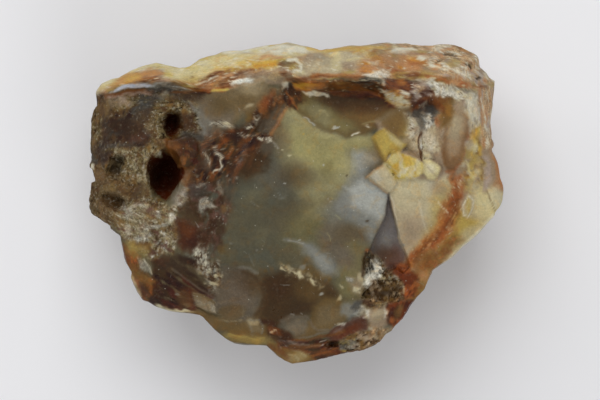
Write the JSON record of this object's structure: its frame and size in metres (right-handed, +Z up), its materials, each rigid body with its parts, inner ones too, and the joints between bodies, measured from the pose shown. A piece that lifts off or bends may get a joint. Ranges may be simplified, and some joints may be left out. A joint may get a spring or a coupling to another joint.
{
  "type": "rough limnosilicite",
  "caption": "Rough lump of smoky brown freshwater chalcedony with a glassy broken face, a pale weathered rim, hollows and chalky crusts; it lies on its flat back.",
  "frame": {"origin": "under the middle of the lump's bounding box, on the plane that it rests on", "axes": "+X along the lump's length, +Y across the broken face towards its thick rim, +Z up from the back to the broken face"},
  "size_m": [0.083, 0.0644, 0.0358],
  "materials": {
    "smoky_chalcedony": "glassy to waxy broken stone with chalky crusts"
  },
  "bodies": {
    "root": {"limnosilicite": "smoky_chalcedony"}
  },
  "joints": []
}
